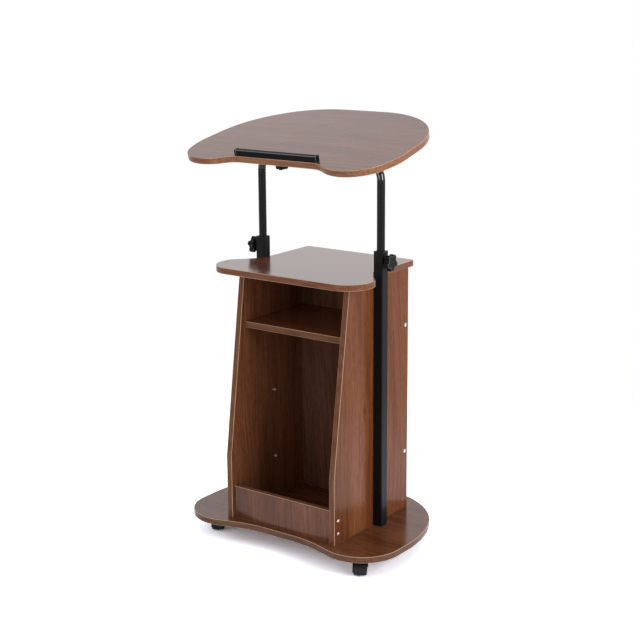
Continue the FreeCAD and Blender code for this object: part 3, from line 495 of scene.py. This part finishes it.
zinc = zincSteel("zinc_steel", steelLook)
slotFinish = {
    "black_tube": blacks["gloss_tube"],
    "black_plastic": blacks["satin_plastic"],
    "black_steel": blacks["satin_plastic"],
    "steel": zinc,
    "caster_plastic": blacks["caster_hood"],
    "caster_wheel": blacks["caster_tread"],
}
ownFinish = {
    "lift_frame": "polished_bend",
    "left_clamp_knob": "knob_plastic",
    "right_clamp_knob": "knob_plastic",
    "tilt_knob": "tilt_plastic",
    "book_stop": "stop_strip",
    "book_stop_caps": "stop_strip",
}
for subpart in frame["record"]["subparts"]:
    if subpart["material_slot"] in slotFinish:
        dress(subpart["node"], slotFinish[subpart["material_slot"]])
for nodeName, finish in ownFinish.items():
    dress(nodeName, blacks[finish])
print("metal and plastic finished")


# turned fittings: a profile spun about +Z, cut with a driver recess, copied to each seat
turning = {
    "mergeGap": 1e-6,
    "sharpAngle": 35,  # degrees
    "recessTaper": (0.45, 0.7, 1.0),  # how far a cross recess narrows at its foot
    "domeSteps": ((0.55, 0.28), (0.86, 0.72)),  # share of a head's radius, share of its dome's height
}


def spunMesh(name, profile, steps):
    shape = bmesh.new()
    ring = [shape.verts.new((radius, 0.0, height)) for radius, height in profile]
    edges = [shape.edges.new(pair) for pair in zip(ring, ring[1:])]
    bmesh.ops.spin(shape, geom=ring + edges, axis=(0, 0, 1), cent=(0, 0, 0), angle=math.tau, steps=steps,
                   use_merge=True)
    bmesh.ops.remove_doubles(shape, verts=shape.verts, dist=turning["mergeGap"])
    bmesh.ops.recalc_face_normals(shape, faces=shape.faces)
    mesh = bpy.data.meshes.new(name)
    shape.to_mesh(mesh)
    shape.free()
    return mesh


def crossCutters(look):
    cutters = []
    size = (look["crossReach"], look["crossWidth"], look["crossDepth"] * 2)
    for turn in (0.0, math.pi / 2):
        shape = bmesh.new()
        bmesh.ops.create_cube(shape, size=1.0)
        bmesh.ops.scale(shape, verts=shape.verts, vec=size)
        low = [vert for vert in shape.verts if vert.co.z < 0]
        bmesh.ops.scale(shape, verts=low, vec=turning["recessTaper"])
        bmesh.ops.rotate(shape, verts=shape.verts, cent=(0, 0, 0), matrix=Matrix.Rotation(turn, 3, "Z"))
        bmesh.ops.translate(shape, verts=shape.verts, vec=(0, 0, look["headHeight"]))
        cutters.append(shape)
    return cutters


def hexCutters(look):
    shape = bmesh.new()
    radius = look["socket"] / 2
    bmesh.ops.create_cone(shape, cap_ends=True, segments=6, radius1=radius, radius2=radius,
                          depth=look["socketDepth"] * 2)
    bmesh.ops.translate(shape, verts=shape.verts, vec=(0, 0, look["headHeight"]))
    return [shape]


def recessed(mesh, cutters):
    host = bpy.data.objects.new("recessHost", mesh)
    scene.collection.objects.link(host)
    helpers = []
    for shape in cutters:
        bmesh.ops.recalc_face_normals(shape, faces=shape.faces)
        cutterMesh = bpy.data.meshes.new("recessCutter")
        shape.to_mesh(cutterMesh)
        shape.free()
        helper = bpy.data.objects.new("recessCutter", cutterMesh)
        scene.collection.objects.link(helper)
        cut = host.modifiers.new("recess", "BOOLEAN")
        cut.object = helper
        cut.operation = "DIFFERENCE"
        cut.solver = "EXACT"
        helpers.append(helper)
    bpy.context.view_layer.update()
    finished = bpy.data.meshes.new_from_object(host.evaluated_get(bpy.context.evaluated_depsgraph_get()))
    for helper in helpers + [host]:
        bpy.data.objects.remove(helper)
    return finished


def seatPiece(name, mesh, seats, body, material):
    shape = bmesh.new()
    for place, way in seats:
        copy = mesh.copy()
        turn = Vector((0, 0, 1)).rotation_difference(Vector(way)).to_matrix().to_4x4()
        copy.transform(Matrix.Translation(place) @ turn)
        shape.from_mesh(copy)
        bpy.data.meshes.remove(copy)
    joined = bpy.data.meshes.new(name)
    shape.to_mesh(joined)
    shape.free()
    joined.materials.clear()
    joined.materials.append(material)
    for face in joined.polygons:
        face.use_smooth = True
        face.material_index = 0
    joined.set_sharp_from_angle(angle=math.radians(turning["sharpAngle"]))
    piece = bpy.data.objects.new(name, joined)
    scene.collection.objects.link(piece)
    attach(piece, body)
    return piece


def screwProfile(look):
    head, height, shank = look["headRadius"], look["headHeight"], look["shankRadius"]
    dome = [(head * across, height - look["dome"] * down) for across, down in turning["domeSteps"]]
    return [
        (0.0, height),
        *dome,
        (head, height - look["dome"]),
        (head, 0.0),
        (shank, 0.0),
        (shank, -look["length"] + shank),
        (0.0, -look["length"]),
    ]


# domed screws with a cross recess that hold the side panels
panelScrews = {
    "headRadius": 0.0046, "headHeight": 0.0020, "dome": 0.0013, "shankRadius": 0.0025, "length": 0.045,
    "crossWidth": 0.0010, "crossReach": 0.0046, "crossDepth": 0.0011, "steps": 40,
    "faceX": 0.160,
    "spots": ((-0.1555, 0.085), (-0.1555, 0.117), (0.1275, 0.2085), (0.1275, 0.528)),
}


def addPanelScrews(look):
    mesh = spunMesh("panelScrew", screwProfile(look), look["steps"])
    mesh = recessed(mesh, crossCutters(look))
    seats = [((side * look["faceX"], y, z), (side, 0, 0)) for side in (-1, 1) for y, z in look["spots"]]
    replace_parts(seatPiece("panelScrews", mesh, seats, "base", zinc), "panel_screws")


# button-head bolts with a hexagon socket that hold the posts from inside the cabinet
postBolts = {
    "headRadius": 0.0060, "headHeight": 0.0030, "dome": 0.0018, "shankRadius": 0.0030, "length": 0.0165,
    "socket": 0.0046, "socketDepth": 0.0020, "steps": 40,
    "faceX": 0.145, "y": 0.0015, "heights": (0.171, 0.345),
}


def addPostBolts(look):
    mesh = spunMesh("postBolt", screwProfile(look), look["steps"])
    mesh = recessed(mesh, hexCutters(look))
    seats = [((side * look["faceX"], look["y"], z), (-side, 0, 0))
             for side in (-1, 1) for z in look["heights"]]
    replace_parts(seatPiece("postBolts", mesh, seats, "base", zinc), "post_bolts")


# pan-head screws through the caster plates
plateScrews = {
    "headRadius": 0.0034, "headHeight": 0.0020, "dome": 0.0010, "shankRadius": 0.00175, "length": 0.0125,
    "crossWidth": 0.0009, "crossReach": 0.0038, "crossDepth": 0.0011, "steps": 24,
    "z": 0.0435, "halfPitch": 0.013,
    "pivots": ((-0.2155, -0.1435), (0.2155, -0.1435), (-0.180, 0.120), (0.180, 0.120)),
}


def addPlateScrews(look):
    mesh = spunMesh("plateScrew", screwProfile(look), look["steps"])
    mesh = recessed(mesh, crossCutters(look))
    seats = []
    for x, y in look["pivots"]:
        for right in (-1, 1):
            for back in (-1, 1):
                place = (x + right * look["halfPitch"], y + back * look["halfPitch"], look["z"])
                seats.append((place, (0, 0, -1)))
    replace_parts(seatPiece("plateScrews", mesh, seats, "base", zinc), "caster_screws")


addPanelScrews(panelScrews)
addPostBolts(postBolts)
addPlateScrews(plateScrews)
print("screws and bolts seated")

# thin rolled rims where the polished bends meet the satin legs
bendRims = {
    "radius": 0.0095, "proud": 0.0004, "half": 0.0010, "steps": 48,
    "x": 0.1725, "y": 0.0015, "z": 0.8925,
}


def addBendRims(look):
    radius, half = look["radius"], look["half"]
    inner, outer = radius - 2 * look["proud"], radius + look["proud"]
    profile = [(inner, -half), (radius, -half), (outer, -half / 2), (outer, half / 2), (radius, half),
               (inner, half), (inner, -half)]
    mesh = spunMesh("bendRim", profile, look["steps"])
    seats = [((side * look["x"], look["y"], look["z"]), (0, 0, 1)) for side in (-1, 1)]
    return seatPiece("bendRims", mesh, seats, "lift", blacks["polished_rim"])


rims = addBendRims(bendRims)
print("rims seated")


# plain studio: pale floor, white surroundings, soft lamps
white = (1.0, 1.0, 1.0, 1.0)
studio = {
    "floorHalf": 9.0,
    "floorColour": (0.785, 0.815, 0.88, 1.0),
    "floorMottle": {"scale": 3.0, "share": 0.04},
    "floorSeen": 2.46,  # how much brighter the floor looks than it lights the desk
    "floorFade": (0.55, 1.5),  # metres from the desk over which the floor turns plain white
    "ambient": 0.60,
    "lamps": {
        "keyLamp": {"place": (2.45, -0.4, 1.25), "size": 1.4, "power": 38.0},
        "topLamp": {"place": (-1.3, 1.4, 3.0), "size": 2.6, "power": 9.0},
        "fillLamp": {"place": (-1.1, -3.2, 0.9), "size": 1.2, "power": 13.0},
    },
    "glints": {  # small lamps that only the lift frame and its rims catch
        "sideGlint": {"place": (2.45, -0.3, 1.30), "size": 0.9, "power": 38.0},
        "frontGlint": {"place": (-0.75, -3.25, 0.72), "size": 0.4, "power": 9.0},
    },
    "washes": {  # a lamp from the left that only the floor catches, to even out its shadow
        "floorWash": {"place": (-2.1, -1.7, 1.3), "size": 1.8, "power": 22.0},
    },
    "aim": (0.0, 0.0, 0.55),
}


def seenDirectly(tree):
    light = addNode(tree, "LightPath").outputs
    seen = mathNode(tree, "MAXIMUM", light["Is Camera Ray"], light["Is Glossy Ray"])
    return mathNode(tree, "MAXIMUM", seen, light["Is Transmission Ray"])


def floorMaterial(settings):
    material = bpy.data.materials.new("studio_floor")
    material.use_nodes = True
    tree = material.node_tree
    tree.nodes.clear()
    coords = addNode(tree, "TexCoord").outputs["Object"]
    mottle = settings["floorMottle"]
    cloud = addNode(tree, "TexNoise", {"Vector": coords, "Scale": mottle["scale"]}).outputs[0]
    seen = seenDirectly(tree)
    colour = Vector(settings["floorColour"])
    colour = mixed(tree, seen, colour, colour * settings["floorSeen"])
    colour = mixed(tree, mathNode(tree, "MULTIPLY", cloud, mottle["share"]), colour, white)
    near = addNode(tree, "BsdfDiffuse", {"Color": colour})
    far = addNode(tree, "Emission", {"Strength": spread(tree, seen, (settings["ambient"], 1.0))})
    away = vectorNode(tree, "LENGTH", coords, output="Value")
    inputs = {"Value": away, "From Min": settings["floorFade"][0], "From Max": settings["floorFade"][1]}
    fade = addNode(tree, "MapRange", inputs, interpolation_type="SMOOTHSTEP")
    both = addNode(tree, "MixShader", {0: fade.outputs[0], 1: near.outputs[0], 2: far.outputs[0]})
    addNode(tree, "OutputMaterial", {"Surface": both.outputs[0]})
    return material


def addFloor(settings):
    mesh = bpy.data.meshes.new("studioFloor")
    shape = bmesh.new()
    bmesh.ops.create_grid(shape, x_segments=1, y_segments=1, size=settings["floorHalf"])
    shape.to_mesh(mesh)
    shape.free()
    mesh.materials.append(floorMaterial(settings))
    floor = bpy.data.objects.new("studioFloor", mesh)
    scene.collection.objects.link(floor)
    return floor


def addWorld(settings):
    world = bpy.data.worlds.new("studioWorld")
    scene.world = world
    world.use_nodes = True
    tree = world.node_tree
    tree.nodes.clear()
    output = addNode(tree, "OutputWorld")
    dim = addNode(tree, "Background", {"Color": white, "Strength": settings["ambient"]})
    plain = addNode(tree, "Background", {"Color": white, "Strength": 1.0})
    both = addNode(tree, "MixShader", {0: seenDirectly(tree), 1: dim.outputs[0], 2: plain.outputs[0]})
    tree.links.new(both.outputs[0], output.inputs["Surface"])


def addLamp(name, look, aim):
    data = bpy.data.lights.new(name, "AREA")
    data.size = look["size"]
    data.energy = look["power"]
    lamp = bpy.data.objects.new(name, data)
    turn = (Vector(aim) - Vector(look["place"])).to_track_quat("-Z", "Y").to_matrix().to_4x4()
    lamp.matrix_world = Matrix.Translation(look["place"]) @ turn
    scene.collection.objects.link(lamp)
    return lamp


def addLamps(settings):
    for name, look in settings["lamps"].items():
        addLamp(name, look, settings["aim"]).visible_glossy = False


def addLinkedLamps(settings, group, pieces):
    receivers = bpy.data.collections.new(group + "Receivers")
    for piece in pieces:
        receivers.objects.link(piece)
    for name, look in settings[group].items():
        lamp = addLamp(name, look, settings["aim"])
        lamp.light_linking.receiver_collection = receivers


floor = addFloor(studio)
addWorld(studio)
addLamps(studio)
addLinkedLamps(studio, "glints", [nodes["lift_frame"], rims])
addLinkedLamps(studio, "washes", [floor])
print("studio lit")
